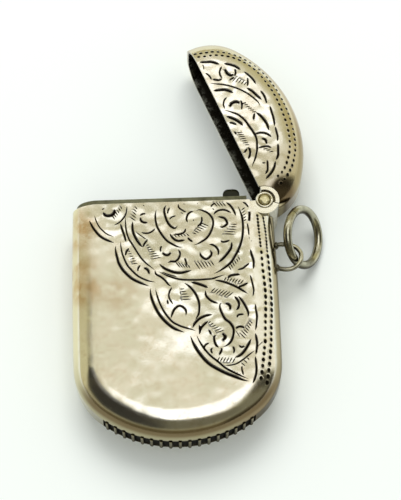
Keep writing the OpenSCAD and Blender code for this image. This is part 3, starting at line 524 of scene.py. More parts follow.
def face_points(form, engraved):
    """Plan points of a half shell's outside, as one run of free points and one of each cut, with the cuts' edges."""
    # the rings of the roll keep step with the edge, so that its reflections stay smooth
    insets = [ROLL * (1 - math.cos(a)) for a in np.radians(ROLL_TURNS)]
    rings = [edge[:count] for edge, count, _ in (boundary(form, r) for r in insets if r < ROLL - 1)]
    rings += [np.concatenate(outline(form, r)) for r in insets if r >= ROLL - 1]
    rings += [np.concatenate(outline(form, ROLL + e))[::2] for e in FACE_RINGS]
    x, y = np.meshgrid(np.arange(-GRID_HALF, GRID_HALF + 0.1, GRID_X), np.arange(-form["length"], 0, GRID_Y))
    x[1::2] += GRID_X / 2
    grid = np.stack([x.ravel(), y.ravel()], 1)
    grid = grid[edge_distance(form, grid) > ROLL + GRID_IN]
    free = inside(form, np.concatenate(rings + [grid]), EDGE)
    free = free[cut_depth(free, engraved) == 0]
    runs, edges, total = [free], [], len(free)
    for middle, half in engraved:
        run = np.gradient(middle, axis=0)
        across = np.stack([-run[:, 1], run[:, 0]], 1) / np.hypot(*run.T)[:, None] * half[:, None]
        m = len(middle)
        runs.append(np.concatenate([middle, (middle + across)[1:-1], (middle - across)[1:-1]]))
        up, down = [0, *range(m, 2 * m - 2), m - 1], [0, *range(2 * m - 2, 3 * m - 4), m - 1]
        for chain in (range(m), up, down):
            chain = [total + i for i in chain]
            edges += list(zip(chain, chain[1:]))
        total += 3 * m - 4
    return runs, edges


def upright_wall(form, row, top, first, slot):
    """Wall under a row of a sheet's points, down to half thickness: its new points, its faces and its lower rim."""
    count = len(row)
    points = np.concatenate([np.column_stack([top[:, :2], np.full(count, z)]) for z in (SLOT_TOP, MID_Z)])
    mid, low = list(range(first, first + count)), list(range(first + count, first + 2 * count))
    a, b = (slot, slot + SLOT_STEPS) if form["slot"] else (0, 0)
    faces = []
    for i in range(count - 1):
        faces.append([row[i], row[i + 1], mid[i + 1], mid[i]])
        if not a <= i < b:
            faces.append([mid[i], mid[i + 1], low[i + 1], low[i]])
    rim = low[: a + 1] + mid[a : b + 1] + low[b:] if form["slot"] else low
    return points, faces, [row[0], mid[0], *rim, mid[-1], row[-1]]


def finished(name, bm, materials, sharp=None):
    """A smooth piece of the scene, made of its faces. Edges over an angle in degrees are sharp."""
    for face in bm.faces:
        face.smooth = True
    mesh = bpy.data.meshes.new(name)
    for material in materials:
        mesh.materials.append(material)
    bm.to_mesh(mesh)
    bm.free()
    if sharp:
        mesh.set_sharp_from_angle(angle=math.radians(sharp))
    piece = bpy.data.objects.new(name, mesh)
    bpy.context.scene.collection.objects.link(piece)
    return piece


def half_shell(name, form, lid=False, lines=(), hatches=(), back=False):
    """Closed mesh of one pressed sheet: outside with its engraving, inside, and the rims between them."""
    engraved = [(to_plan(middle, lid), half) for middle, half in cuts(lines, hatches)]
    flat, faces, edge, count, slot = skin(form, EDGE, *face_points(form, engraved))
    depth = cut_depth(flat, engraved)
    height = face_height(form, flat, lid, 0.0 if back else 1.0) - depth
    insets = [WALL + (ROLL - WALL) * (1 - math.cos(a)) for a in np.radians(IN_TURNS)]
    in_points = inside(form, np.concatenate([np.concatenate(outline(form, r)) for r in insets]), INNER_EDGE)
    in_flat, in_faces, in_edge, _, _ = skin(form, INNER_EDGE, [in_points], [])
    in_height = rolled_height(edge_distance(form, in_flat), WALL)
    points = np.concatenate([np.column_stack([flat, height]), np.column_stack([in_flat, in_height])])
    base, in_end = len(flat), len(points)
    faces += [[i + base for i in f] for f in in_faces]
    loops = []
    for ids in (edge, [i + base for i in in_edge]):
        rows, wall_faces, rim = upright_wall(form, ids[:count], points[ids[:count]], len(points), slot)
        points = np.concatenate([points, rows])
        faces += wall_faces
        loops.append(rim + ids[count:])
    outer, inner = loops
    faces += [list(f) for f in zip(outer, outer[1:] + outer[:1], inner[1:] + inner[:1], inner)]
    points = place(form, points, lid)
    if back:
        points[:, 2] = CASE_T - points[:, 2]
    sheet = bpy.data.meshes.new("sheet")
    sheet.from_pydata(points * MM, [], faces)
    # what the silver reads: how deep a cut is, how far down the side a point lies, and whether it is inside
    marks = {"cut": np.zeros(len(points)), "side": np.ones(len(points)), "inner": np.zeros(len(points))}
    marks["cut"][:base] = np.clip(depth / DARK_CUT, 0, 1)
    marks["side"][:base] = np.clip(1 - edge_distance(form, flat) / SIDE_REACH, 0, 1)
    marks["inner"][base:in_end] = 1
    marks["inner"][-2 * count :] = 1
    for mark, values in marks.items():
        sheet.attributes.new(mark, "FLOAT", "POINT").data.foreach_set("value", values.astype(np.float32))
    bm = bmesh.new()
    bm.from_mesh(sheet)
    bpy.data.meshes.remove(sheet)
    bmesh.ops.recalc_face_normals(bm, faces=bm.faces)
    return finished(name, bm, [SILVER], sharp=20)


# Materials

# Sizes of the patterns in millimetres. Real scratches are finer than the grain, which is drawn as coarse as it needs
# to be to show.
MOTTLE_MM, BLOTCH_MM, GRAIN_MM = 1.3, 2.2, 0.3125

# Brown blots where the case was held: middle, reach and depth
BLOTS = (((-15.6, 7.4, 0), 5.0, 0.62), ((-14.0, 4.4, 0), 3.2, 0.5), ((-9.2, 4.2, 0), 4.0, 0.36),
         ((-15.6, 15.2, 0), 4.4, 0.75))

# Directions into the open lid and across the engraved field, and the spot by the hinge where shade is painted
LID_IN, FIELD_ACROSS, HINGE_SHADE_SPOT = (0.927, 0.375, 0.0), (1.265, 1.0, 0.0), (17.8, 21.1, 0.0)


def linear(code):
    """Linear colour of an sRGB hex code."""
    parts = [int(code[i : i + 2], 16) / 255 for i in (1, 3, 5)]
    return [c / 12.92 if c <= 0.04045 else ((c + 0.055) / 1.055) ** 2.4 for c in parts] + [1.0]


def add(tree, kind, inputs=None, **settings):
    """Adds a node with its settings, sets its inputs or links them to one or more outputs, and returns its outputs."""
    made = tree.nodes.new(kind)
    for key, value in settings.items():
        setattr(made, key, value)
    for key, value in (inputs or {}).items():
        sources = value if isinstance(value, tuple) else (value,)
        if isinstance(sources[0], bpy.types.NodeSocket):
            for source in sources:
                tree.links.new(source, made.inputs[key])
        else:
            made.inputs[key].default_value = value
    return made.outputs


def region(tree, *parts):
    """A region with soft edges: the product of masks, numbers and smooth steps. A step is a value, the two marks that
    it goes between and, where they aren't 0 and 1, what it gives at each."""
    whole = None
    for part in parts:
        if isinstance(part, tuple):
            value, start, stop, *ends = part
            marks = {"Value": value, "From Min": start, "From Max": stop, **dict(zip(("To Min", "To Max"), ends))}
            part = add(tree, "ShaderNodeMapRange", marks, interpolation_type="SMOOTHSTEP")[0]
        whole = part if whole is None else add(tree, "ShaderNodeMath", {0: whole, 1: part}, operation="MULTIPLY")[0]
    return whole


def coat(tree, under, over, *parts):
    """A colour laid over another one in a region with soft edges."""
    under, over = (linear(tone) if isinstance(tone, str) else tone for tone in (under, over))
    return add(tree, "ShaderNodeMix", {0: region(tree, *parts), 6: under, 7: over}, data_type="RGBA")[2]


def handled_and_shaded(tree, colour, spot, lid_in, mottle):
    """A pressed sheet's colour after years of handling, with painted shade on its steep sides, inside and beside the
    hinge, a painted dark reflection along its bottom edge, and the masks of its inside and of its shaded right side.
    Places are in millimetres."""
    x, y, _ = add(tree, "ShaderNodeSeparateXYZ", {0: spot})
    plan = add(tree, "ShaderNodeCombineXYZ", {0: x, 1: y, 2: 0.0})[0]
    side = add(tree, "ShaderNodeAttribute", attribute_name="side")["Fac"]
    inner = add(tree, "ShaderNodeAttribute", attribute_name="inner")["Fac"]
    # tan on the lid's rolled edge
    colour = coat(tree, colour, "#D8CCA8", (side, 0.0, 0.4, 0.0, 0.8), (y, 21.5, 24))
    # painted shade on the sides: pale on the left, darker on the right, at the striker's end and on the lid
    low = region(tree, (side, 0.567, 0.767, 0.0, 0.92))
    painted_side_shade = coat(tree, "#E4DAB2", "#B6A884", (x, -4, 4))
    painted_side_shade = coat(tree, painted_side_shade, "#9A9270", (y, -4, -15))
    painted_side_shade = coat(tree, painted_side_shade, "#8E7C5C", (x, 6, 12), (y, -6, -12))
    painted_side_shade = coat(tree, painted_side_shade, coat(tree, "#BBA888", "#96805C", (y, 38, 30)), (y, 19.5, 21))
    colour = coat(tree, colour, painted_side_shade, low)
    # painted dark reflection: a brown line along the rolled edge above the striker, for the shaded floor it mirrors
    colour = coat(tree, colour, "#6E5C40", (side, 0.52, 0.66), (side, 0.95, 0.82, 0.0, 0.85), (y, -9, -13.5))
    # a little more tarnish among the engraved lines of the body
    across = add(tree, "ShaderNodeVectorMath", {0: spot, 1: FIELD_ACROSS}, operation="DOT_PRODUCT")["Value"]
    colour = coat(tree, colour, "#A39F7C", (across, 1.5, 5.5, 0.0, 0.3), (y, 20.5, 19.5), (x, 12.5, 10.5))
    # uneven brown blots
    noise = {"Vector": spot, "Scale": 1 / BLOTCH_MM, "Detail": 5.0}
    uneven = region(tree, (add(tree, "ShaderNodeTexNoise", noise)[0], 0.36, 0.58, 0.2, 1.0))
    for middle, reach, depth in BLOTS:
        off = add(tree, "ShaderNodeVectorMath", {0: plan, 1: middle}, operation="DISTANCE")["Value"]
        colour = coat(tree, colour, "#C29E66", uneven, (off, reach, 0.3 * reach, 0.0, depth))
    # a yellower tone on the lower half of the lid, and painted shade beside the hinge, where the lid meets the body
    colour = coat(tree, colour, "#A99C74", (y, 34, 26, 0.0, 0.5), (y, 19.4, 20))
    off = add(tree, "ShaderNodeVectorMath", {0: plan, 1: HINGE_SHADE_SPOT}, operation="DISTANCE")["Value"]
    colour = coat(tree, colour, "#5E4A34", (off, 3.5, 1.2, 0.0, 0.8), (y, 19.4, 20))
    # painted shade inside: near black, grey and flaking near the lid's mouth
    painted_inside_shade = coat(tree, "#191914", "#B4B6A8", (lid_in, 22.5, 21.2, 0.0, 0.85), (mottle, 0.46, 0.58))
    colour = coat(tree, colour, painted_inside_shade, inner, 0.95)
    return colour, inner, region(tree, low, (x, 2, 11, 0.0, 0.6), (y, 20.5, 19.5))


def metal(name, bright, tarnish, rough, cloud, cloud_mm, cut_tone=None, wire=False, sheet=False):
    """Worn silver: bright where it is rubbed, with warm tarnish in clouds, grime and painted shade on the sides of
    a wire, marks of handling and painted shade on a pressed sheet, and near black in its cuts where it has any."""
    material = bpy.data.materials.new(name)
    material.use_nodes = True
    tree = material.node_tree
    tree.nodes.clear()
    coords = add(tree, "ShaderNodeTexCoord")
    spot = add(tree, "ShaderNodeVectorMath", {0: coords["Object"], "Scale": 1 / MM}, operation="SCALE")[0]
    upright = add(tree, "ShaderNodeSeparateXYZ", {0: coords["Normal"]})[2]
    x, y, _ = add(tree, "ShaderNodeSeparateXYZ", {0: spot})
    patterns = []
    for size, detail, broken in ((cloud_mm, 5.0, 0.6), (MOTTLE_MM, 6.0, 0.75), (GRAIN_MM, 3.0, 0.5)):
        noise = {"Vector": spot, "Scale": 1 / size, "Detail": detail, "Roughness": broken}
        patterns.append(add(tree, "ShaderNodeTexNoise", noise)[0])
    clouds, mottle, grain = patterns
    parts = {0: region(tree, (clouds, 0.35, 0.75, 0.0, cloud)), 1: region(tree, (mottle, 0.45, 0.68, 0.0, 0.22))}
    tarnish_and_shade = add(tree, "ShaderNodeMath", parts, operation="ADD")[0]
    patches = []
    if wire:
        # grime and painted shade on a wire's sides, grime where it meets the case, and its top rubbed clean
        patches = [region(tree, (upright, 0.8, 0.2)), region(tree, (x, 19.2, 16.8, 0.0, 0.85))]
    if sheet:
        # brown tarnish along the left of the body; brown on the far end of the lid, part tarnish, part painted shade
        lid_in = add(tree, "ShaderNodeVectorMath", {0: spot, 1: LID_IN}, operation="DOT_PRODUCT")["Value"]
        patches = [region(tree, (x, -9, -15.2), (y, -6, 6), (clouds, 0.25, 0.6, 0.05, 0.55)),
                   region(tree, (lid_in, 28, 31.8), (y, 38, 31), (clouds, 0.3, 0.6, 0.4, 1.0))]
    for patch in patches:
        tarnish_and_shade = add(tree, "ShaderNodeMath", {0: tarnish_and_shade, 1: patch}, operation="MAXIMUM")[0]
    colour = coat(tree, bright, tarnish, tarnish_and_shade)
    # tarnish is rougher, and so are the inside and the cuts
    parts = {0: region(tree, (clouds, 0.3, 0.8, rough, rough + 0.1)), 1: region(tree, tarnish_and_shade, 0.1)}
    roughness = add(tree, "ShaderNodeMath", parts, operation="ADD")[0]
    # fine scratches scatter some of the light on the flat faces
    metallic = region(tree, (upright, 0.93, 0.985, 1.0, 0.75))
    finish = {}
    if sheet:
        colour, inner, shaded = handled_and_shaded(tree, colour, spot, lid_in, mottle)
        roughness = add(tree, "ShaderNodeMath", {0: roughness, 1: region(tree, inner, 0.15)}, operation="ADD")[0]
    if cut_tone:
        cut = region(tree, (add(tree, "ShaderNodeAttribute", attribute_name="cut")["Fac"], 0.02, 0.5))
        colour = coat(tree, colour, cut_tone, cut)
        roughness = add(tree, "ShaderNodeMath", {0: roughness, 1: region(tree, cut, 0.55)}, operation="MAXIMUM")[0]
        parts = {0: metallic, 1: region(tree, (cut, 0.0, 1.0, 1.0, 0.35))}
        metallic = add(tree, "ShaderNodeMath", parts, operation="MINIMUM")[0]
        # no white glints come from a cut or from the shaded side
        finish["Specular IOR Level"] = region(tree, (cut, 0.0, 1.0, 0.5, 0.1))
        unlit = add(tree, "ShaderNodeMath", {0: cut, 1: shaded}, operation="MAXIMUM")[0] if sheet else cut
        finish["Specular Tint"] = coat(tree, "#FFFFFF", "#000000", unlit)
    bump = add(tree, "ShaderNodeBump", {"Height": grain, "Strength": 0.2, "Distance": 0.02 * MM})[0]
    finish.update({"Base Color": colour, "Metallic": metallic, "Roughness": roughness, "Normal": bump})
    add(tree, "ShaderNodeOutputMaterial", {0: add(tree, "ShaderNodeBsdfPrincipled", finish)[0]})
    return material


# pressed, engraved sterling sheet rubbed by hands: bright, warm reflections, yellow and brown tarnish, painted shade
SILVER = metal("engraved_sterling_sheet", "#F6F3E8", "#C3A771", 0.1, 0.3, 6.0, cut_tone="#17130C", sheet=True)
# drawn silver wire, long unpolished: grey and shiny on top, dark olive down its sides from tarnish and painted shade
DULL = metal("tarnished_and_shaded_silver_wire", "#CECAB2", "#413C2C", 0.16, 0.75, 3.5, wire=True)
# rolled strip that the lid slides on: dark olive, with a dull shine
BEZEL = metal("rolled_silver_strip", "#77775F", "#454430", 0.3, 0.8, 3.0)
# hammered end of the pin: pale straw, with a soft shine
PIN = metal("hammered_silver", "#E6E0BC", "#B4A878", 0.25, 0.8, 0.8)
# ribbed strip that matches are struck on: brownish grey crests over black gaps
RIBS = metal("ribbed_silver_strip", "#9A9170", "#6A6244", 0.25, 0.7, 1.5, cut_tone="#100D08")
# spring silver: nearly black, with a dull shine
DARK = metal("dark_spring_silver", "#2C2D24", "#1A1B15", 0.35, 0.8, 6.0)
# drawn tube of the hinge, rubbed clean: white and softly shiny
HINGE = metal("drawn_silver_tube", "#F6F2E4", "#D2C59A", 0.2, 0.5, 6.0)
# tarnish packed into the punched dots: flat and nearly black
PIT = metal("silver_tarnish", "#221E15", "#14110B", 0.5, 0.6, 6.0)


# Pieces that repeat along a line


def grown(line_points, tree, values, up=None):
    """The plain mesh that a tree makes along a line, upright on the directions given."""
    line = bpy.data.meshes.new("line")
    line.from_pydata(np.array(line_points) * MM, [(i, i + 1) for i in range(len(line_points) - 1)], [])
    if up is not None:
        line.attributes.new("up", "FLOAT_VECTOR", "POINT").data.foreach_set("vector", up.ravel())
    holder = bpy.data.objects.new("line", line)
    bpy.context.scene.collection.objects.link(holder)
    work = holder.modifiers.new("work", "NODES")
    work.node_group = tree
    for socket in tree.interface.items_tree:
        if socket.in_out == "INPUT" and socket.name in values:
            work[socket.identifier] = values[socket.name]
    made = bpy.data.meshes.new_from_object(holder.evaluated_get(bpy.context.evaluated_depsgraph_get()))
    bpy.data.objects.remove(holder)
    return made


def line_tree(name, inputs):
    """An empty tree that takes a line and other named inputs and gives a mesh."""
    tree = bpy.data.node_groups.new(name, "GeometryNodeTree")
    tree.interface.new_socket("Geometry", in_out="OUTPUT", socket_type="NodeSocketGeometry")
    for label, kind in {"Line": "Geometry", **inputs}.items():
        tree.interface.new_socket(label, in_out="INPUT", socket_type="NodeSocket" + kind)
    return tree


def punched_dots():
    """Tree that sets a crater at every step of a line, upright on the attribute called up."""
    tree = line_tree("punched_dots", {"Spacing": "Float", "Along": "Float", "Across": "Float", "Rim": "Float",
                                      "Seed": "Int", "Metal": "Material", "Tarnish": "Material"})
    given = add(tree, "NodeGroupInput")
    curve = add(tree, "GeometryNodeMeshToCurve", {"Mesh": given["Line"]})[0]
    dots = add(tree, "GeometryNodeCurveToPoints", {"Curve": curve, "Length": given["Spacing"]}, mode="LENGTH")
    up = add(tree, "GeometryNodeInputNamedAttribute", {"Name": "up"}, data_type="FLOAT_VECTOR")["Attribute"]
    stand = add(tree, "FunctionNodeAlignRotationToVector", {"Vector": up}, axis="Z")[0]
    ahead = {"Rotation": stand, "Vector": dots["Tangent"]}
    turn = add(tree, "FunctionNodeAlignRotationToVector", ahead, axis="X", pivot_axis="Z")[0]
    # one crater, in units of its size: a raised rim, a bowl and its floor
    wall = {"Vertices": DOT_SIDES, "Radius Top": 0.9, "Radius Bottom": 1.3, "Depth": 1.6}
    rim = add(tree, "GeometryNodeMeshCone", wall, fill_type="NONE")["Mesh"]
    rim = add(tree, "GeometryNodeTransform", {"Geometry": rim, "Translation": (0, 0, -0.6)})[0]
    bowl = {"Vertices": DOT_SIDES, "Radius Top": 0.9, "Radius Bottom": 0.5, "Depth": 0.7}
    pit = add(tree, "GeometryNodeMeshCone", bowl, fill_type="NONE")["Mesh"]
    pit = add(tree, "GeometryNodeTransform", {"Geometry": pit, "Translation": (0, 0, 0.3)})[0]
    pit = add(tree, "GeometryNodeFlipFaces", {"Mesh": pit})[0]
    floor = add(tree, "GeometryNodeMeshCircle", {"Vertices": DOT_SIDES, "Radius": 0.5}, fill_type="NGON")[0]
    floor = add(tree, "GeometryNodeTransform", {"Geometry": floor, "Translation": (0, 0, 0.3)})[0]
    marked = {"Geometry": add(tree, "GeometryNodeJoinGeometry", {0: (floor, pit)})[0], "Name": "pit", "Value": True}
    pit = add(tree, "GeometryNodeStoreNamedAttribute", marked, data_type="BOOLEAN", domain="FACE")[0]
    whole = add(tree, "GeometryNodeJoinGeometry", {0: (pit, rim)})[0]
    crater = add(tree, "GeometryNodeMergeByDistance", {"Geometry": whole, "Distance": 0.01})[0]
    # no two strokes of the punch are quite alike
    size = add(tree, "ShaderNodeCombineXYZ", {0: given["Along"], 1: given["Across"], 2: given["Rim"]})[0]
    vary = add(tree, "FunctionNodeRandomValue", {2: 0.85, 3: 1.12, "Seed": given["Seed"]}, data_type="FLOAT")[1]
    size = add(tree, "ShaderNodeVectorMath", {0: size, "Scale": vary}, operation="SCALE")[0]
    set_out = {"Points": dots["Points"], "Instance": crater, "Rotation": turn, "Scale": size}
    made = add(tree, "GeometryNodeInstanceOnPoints", set_out)[0]
    made = add(tree, "GeometryNodeRealizeInstances", {0: made})[0]
    made = add(tree, "GeometryNodeSetMaterial", {"Geometry": made, "Material": given["Metal"]})[0]
    in_pit = add(tree, "GeometryNodeInputNamedAttribute", {"Name": "pit"}, data_type="BOOLEAN")["Attribute"]
    dark = {"Geometry": made, "Selection": in_pit, "Material": given["Tarnish"]}
    add(tree, "NodeGroupOutput", {0: add(tree, "GeometryNodeSetMaterial", dark)[0]})
    return tree


def dot_piece(name, form, rows, lid, tree):
    """All rows of dots of one body as one plain mesh."""
    joined = bmesh.new()
    for seed, (spacing, run, across, *points) in enumerate(rows):
        flat = to_plan(smooth_line(points, DOT_STEP), lid)
        # the slope of the face on each side gives the direction in which a dot stands
        shifts = ((0, 0), (0.05, 0), (-0.05, 0), (0, 0.05), (0, -0.05))
        rise = [face_height(form, flat + shift, lid, 1.0) for shift in shifts]
        up = np.stack([(rise[2] - rise[1]) / 0.1, (rise[4] - rise[3]) / 0.1, np.ones(len(flat))], 1)
        at = np.column_stack([flat, rise[0]])
        spots, tips = place(form, at, lid), place(form, at + 0.2 * up, lid)
        values = {"Spacing": spacing * MM, "Along": run * DOT_SIZE * MM, "Across": across * DOT_SIZE * MM,
                  "Rim": DOT_RIM * MM, "Seed": seed, "Metal": SILVER, "Tarnish": PIT}
        made = grown(spots, tree, values, tips - spots)
        slots = [m.name if m else "" for m in made.materials]
        start = len(joined.faces)
        joined.from_mesh(made)
        joined.faces.ensure_lookup_table()
        for face in joined.faces[start:]:
            face.material_index = int(slots[face.material_index] == PIT.name)
    return finished(name, joined, [SILVER, PIT], sharp=50)


def striker_ribs():
    """Tree that sets a round rib at even steps along a line."""
    tree = line_tree("striker_ribs", {"Count": "Int", "Radius": "Float", "Width": "Float", "Metal": "Material"})
    given = add(tree, "NodeGroupInput")
    curve = add(tree, "GeometryNodeMeshToCurve", {"Mesh": given["Line"]})[0]
    steps = {"Curve": curve, "Count": given["Count"]}
    places = add(tree, "GeometryNodeCurveToPoints", steps, mode="COUNT")["Points"]
    bar = {"Vertices": 24, "Radius": given["Radius"], "Depth": given["Width"]}
    rib = add(tree, "GeometryNodeMeshCylinder", bar, fill_type="NGON")["Mesh"]
    made = add(tree, "GeometryNodeInstanceOnPoints", {"Points": places, "Instance": rib})[0]
    made = add(tree, "GeometryNodeRealizeInstances", {0: made})[0]
    made = add(tree, "GeometryNodeSetMaterial", {"Geometry": made, "Material": given["Metal"]})[0]
    add(tree, "NodeGroupOutput", {0: made})
    return tree


# Pieces swept through rings of points


def sweep(bm, rings, closed=False):
    """Adds faces between rings of points, and on the first and the last ring unless they close on each other."""
    rings = [[bm.verts.new(Vector(q) * MM) for q in ring] for ring in rings]
    for a, b in zip(rings, rings[1:] + rings[:1] if closed else rings[1:]):
        for i in range(len(a)):
            bm.faces.new((a[i - 1], b[i - 1], b[i], a[i]))
    if closed:
        bmesh.ops.remove_doubles(bm, verts=bm.verts, dist=1e-8)
    else:
        bm.faces.new(rings[0])
        bm.faces.new(rings[-1])
    bmesh.ops.recalc_face_normals(bm, faces=bm.faces)


def on_base(r, a, z):
    """A point at a radius and an angle about the middle of the bottom end's arc."""
    return BASE_CENTRE[0] + r * math.sin(a), BASE_CENTRE[1] - r * math.cos(a), z


def striker():
    """The ribbed strip of the bottom end: dark in its gaps, light on its rubbed crests."""
    turns = np.linspace(-RIB_REACH / BASE_R, RIB_REACH / BASE_R, 80)
    values = {"Count": RIB_COUNT, "Radius": RIB_R * MM, "Width": RIB_W * MM, "Metal": RIBS}
    bm = bmesh.new()
    bm.from_mesh(grown([on_base(RIB_LINE, a, MID_Z) for a in turns], striker_ribs(), values))
    corners = ((STRIP_IN, STRIP_BACK), (STRIP_OUT, STRIP_BACK), (STRIP_OUT, STRIP_FRONT), (STRIP_IN, STRIP_FRONT))
    turns = np.linspace(-STRIP_REACH / BASE_R, STRIP_REACH / BASE_R, 61)
    sweep(bm, [[on_base(r, a, z) for r, z in corners] for a in turns])
    for face in bm.faces:
        face.material_index = 0
    piece = finished("striker", bm, [RIBS], sharp=40)
    spots = np.array([v.co for v in piece.data.vertices]) / MM
    crest = RIB_LINE + RIB_R
    cut = np.clip((crest - np.hypot(*(spots[:, :2] - BASE_CENTRE).T)) / RIB_R, 0, 1)
    # painted shade: the lower ends of the ribs, which lie in shadow, are darker
    cut = np.where(spots[:, 2] < MID_Z, np.maximum(cut, RIB_FOOT_SHADE), cut)
    piece.data.attributes.new("cut", "FLOAT", "POINT").data.foreach_set("value", cut.astype(np.float32))
    return piece


def turned_piece(name, profile, material):
    """A piece turned about the hinge's axis, from a closed line of radius and height."""
    bm = bmesh.new()
    rings = []
    for a in np.linspace(0, 2 * math.pi, TURNED_STEPS, endpoint=False):
        rings.append([(HINGE_X + r * math.cos(a), MOUTH_Y + r * math.sin(a), z) for r, z in profile])
    sweep(bm, rings, closed=True)
    return finished(name, bm, [material], sharp=50)


def spring():
    """The snap spring: a strip with a rounded, curled tip."""
    turn = np.linspace(math.pi / 2, -math.pi / 2, 13)
    rings = []
    for x in SPRING_STEPS:
        aside = max(0.0, abs(x - SPRING_X) - SPRING_FLAT) / SPRING_CORNER
        tip = SPRING_TIP - SPRING_CORNER * (1 - math.sqrt(max(0.0, 1 - aside**2)))
        ring = [(x, SPRING_ROOT, CURL_Z + CURL_OUT)]
        for r, angles in ((CURL_OUT, turn), (CURL_IN, turn[::-1])):
            ring += [(x, tip - CURL_OUT + r * math.cos(a), CURL_Z + r * math.sin(a)) for a in angles]
        rings.append(ring + [(x, SPRING_ROOT, CURL_Z + CURL_IN)])
    bm = bmesh.new()
    sweep(bm, rings)
    return finished("spring", bm, [DARK], sharp=40)


def chain_loop():
    """The bent wire of the chain loop, with a bead of solder at each foot."""
    path = smooth_line(LOOP_PATH, 0.1)
    path = np.column_stack([path, np.full(len(path), LOOP_Z)])
    run = np.gradient(path, axis=0)
    run /= np.linalg.norm(run, axis=1)[:, None]
    across = np.stack([-run[:, 1], run[:, 0], np.zeros(len(run))], 1)
    turns = np.linspace(0, 2 * math.pi, LOOP_SIDES, endpoint=False)
    rings = []
    for centre, side in zip(path, across):
        rings.append([centre + LOOP_WIRE * (side * math.cos(a) + np.array([0, 0, math.sin(a)])) for a in turns])
    bm = bmesh.new()
    sweep(bm, rings)
    for end in (path[0], path[-1]):
        squashed = Matrix.Translation(Vector(end + [BEAD_OUT, 0, 0]) * MM) @ Matrix.Diagonal((BEAD_FLAT, 1, 1, 1))
        bmesh.ops.create_uvsphere(bm, u_segments=24, v_segments=14, radius=BEAD_R * MM, matrix=squashed)
    bmesh.ops.recalc_face_normals(bm, faces=bm.faces)
    return finished("loop", bm, [DULL])


# Pieces

shells = {
    "body_front_shell": half_shell("body_front", BODY, False, BODY_LINES, BODY_HATCHES),
    "body_back_shell": half_shell("body_back", BODY, back=True),
    "lid_front_shell": half_shell("lid_front", LID, True, LID_LINES, LID_HATCHES),
    "lid_back_shell": half_shell("lid_back", LID, True, back=True),
}
for node, piece in shells.items():
    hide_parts(node)
    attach(piece, "lid" if node.startswith("lid") else "case")

dot_tree = punched_dots()
for name, form, rows, lid in (("body_dots", BODY, BODY_DOTS, False), ("lid_dots", LID, LID_DOTS, True)):
    piece = dot_piece(name, form, rows, lid, dot_tree)
    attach(piece, "lid" if lid else "case")

small_pieces = {
    "striker_strip": (striker(), "dark_silver"),
    "body_knuckle_front": (turned_piece("knuckle_front", KNUCKLE_LINE, HINGE), "hinge_silver"),
    "snap_spring": (spring(), "dark_silver"),
    "chain_loop": (chain_loop(), "dull_silver"),
    "hinge_pin": (turned_piece("pin", PIN_LINE, PIN), "hinge_silver"),
}
for node, (piece, slot) in small_pieces.items():
    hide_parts(node)
    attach(piece, "case")

finishes = {"dull_silver": DULL, "dark_silver": DARK, "hinge_silver": HINGE}
for part in frame["record"]["subparts"]:
    if part["material_slot"] in finishes:
        mesh = frame["nodes"][part["node"]].data
        mesh.materials.clear()
        mesh.materials.append(BEZEL if part["node"] == "mouth_bezel" else finishes[part["material_slot"]])

# Floor: a plain sheet in metres, a hair under the case
FLOOR_HALF, FLOOR_Z = 3, -2e-5
# matt white paper: even and without shine
paper = bpy.data.materials.new("matt_white_paper")
paper.use_nodes = True
tree = paper.node_tree
tree.nodes.clear()
matt = {"Base Color": linear("#F3F8F3"), "Roughness": 0.9, "Specular IOR Level": 0.1}
add(tree, "ShaderNodeOutputMaterial", {0: add(tree, "ShaderNodeBsdfPrincipled", matt)[0]})
floor_mesh = bpy.data.meshes.new("floor")
corners = [(FLOOR_HALF * x, FLOOR_HALF * y, FLOOR_Z) for x, y in ((-1, -1), (1, -1), (1, 1), (-1, 1))]
floor_mesh.from_pydata(corners, [], [(0, 1, 2, 3)])
floor_mesh.materials.append(paper)
floor = bpy.data.objects.new("floor", floor_mesh)
bpy.context.scene.collection.objects.link(floor)

# Room as the silver sees it, painted by direction: beige walls, a bright window above, and the dark side where the
# camera stands. Lists are linear light, which may be brighter than white.
world = bpy.data.worlds.new("room")
bpy.context.scene.world = world
world.use_nodes = True
tree = world.node_tree
tree.nodes.clear()
x, y, z = add(tree, "ShaderNodeSeparateXYZ", {0: add(tree, "ShaderNodeTexCoord")["Generated"]})
overhead = add(tree, "ShaderNodeCombineXYZ", {0: x, 1: y, 2: 0.0})[0]
corner = add(tree, "ShaderNodeVectorMath", {0: overhead, 1: (0.27, 0.48, 0.0)}, operation="DISTANCE")["Value"]
# the window, a patch in the corner, the ceiling behind it, and the pale wall on the right
window = region(tree, (x, -0.3, -0.05), (x, 0.5, 0.25), (y, -0.55, -0.37), (y, 0.3, 0.14))
patches = (
    region(tree, (corner, 0.17, 0.08, 0.0, 0.4)),
    region(tree, (y, 0.39, 0.46, 0.0, 0.9), (x, 0.32, 0.12), (y, 0.62, 0.5)),
    region(tree, (x, 0.12, 0.26, 0.0, 0.3), (y, 0.45, 0.37), (y, 0.0, 0.18)),
)
for patch in patches:
    window = add(tree, "ShaderNodeMath", {0: window, 1: patch}, operation="MAXIMUM")[0]
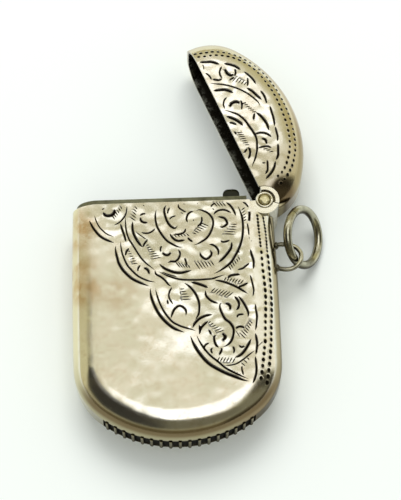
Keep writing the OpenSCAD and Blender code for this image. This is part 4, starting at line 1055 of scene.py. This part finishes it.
# the dark side, with a slanting upper limit and slanting ends, and a dark door on the right
limit = region(tree, (x, -0.05, -0.5, -0.48, 0.308))
below = add(tree, "ShaderNodeMath", {0: y, 1: limit}, operation="SUBTRACT")[0]
left = add(tree, "ShaderNodeMath", {0: y, 1: -0.55, 2: x}, operation="MULTIPLY_ADD")[0]
right = add(tree, "ShaderNodeMath", {0: y, 1: 0.5, 2: x}, operation="MULTIPLY_ADD")[0]
shade = region(tree, (below, 0.025, -0.035), (left, -0.95, -0.85), (right, 0.7, 0.2), (z, 0.2, 0.45, 0.35, 1.0),
               (x, -0.32, -0.02, 1.0, 0.8))
door = region(tree, (x, 0.32, 0.55), (y, 0.17, -0.03, 0.0, 0.95), (y, -0.4, -0.1, 0.78, 1.0))
shade = add(tree, "ShaderNodeMath", {0: shade, 1: door}, operation="MAXIMUM")[0]
seen = coat(tree, "#C6C098", [1.75, 1.78, 1.82, 1], window)
seen = coat(tree, seen, [0.03, 0.028, 0.021, 1], shade)
rays = add(tree, "ShaderNodeLightPath")
light = coat(tree, [0.68, 0.69, 0.68, 1], seen, rays["Is Glossy Ray"])
light = coat(tree, light, [0.93, 0.96, 0.93, 1], rays["Is Camera Ray"])
add(tree, "ShaderNodeOutputWorld", {0: add(tree, "ShaderNodeBackground", {"Color": light, "Strength": 1.0})[0]})

# Soft light from above and behind, so that the shadow falls towards the camera
lamp = bpy.data.lights.new("window_light", "AREA")
lamp.shape, lamp.size, lamp.size_y, lamp.energy = "RECTANGLE", 0.75, 0.6, 6.2
lamp_at = Vector((-0.03, 0.6, 0.85))
light_obj = bpy.data.objects.new("window_light", lamp)
light_obj.location = lamp_at
light_obj.rotation_euler = (-lamp_at).to_track_quat("-Z", "Y").to_euler()
light_obj.visible_glossy = False
bpy.context.scene.collection.objects.link(light_obj)

# Camera, fitted to the outlines in the photograph: turn, tilt and roll in degrees, aim and distance in millimetres
TURN, TILT, ROLLED = -2.23, 21.82, 0.2
AIM, AWAY = (4.296, 13.025, 5.1), 300
camera = bpy.data.cameras.new("camera")
camera.lens, camera.sensor_width = 133.11, 36.0
turned = Matrix.Identity(3)
for angle, axis in ((TURN, "Z"), (TILT, "X"), (ROLLED, "Z")):
    turned = turned @ Matrix.Rotation(math.radians(angle), 3, axis)
eye = (Vector(AIM) + turned @ Vector((0, 0, AWAY))) * MM
camera_obj = bpy.data.objects.new("camera", camera)
camera_obj.matrix_world = Matrix.Translation(eye) @ turned.to_4x4()
bpy.context.scene.collection.objects.link(camera_obj)
bpy.context.scene.camera = camera_obj
bpy.context.scene.view_settings.view_transform = "Standard"
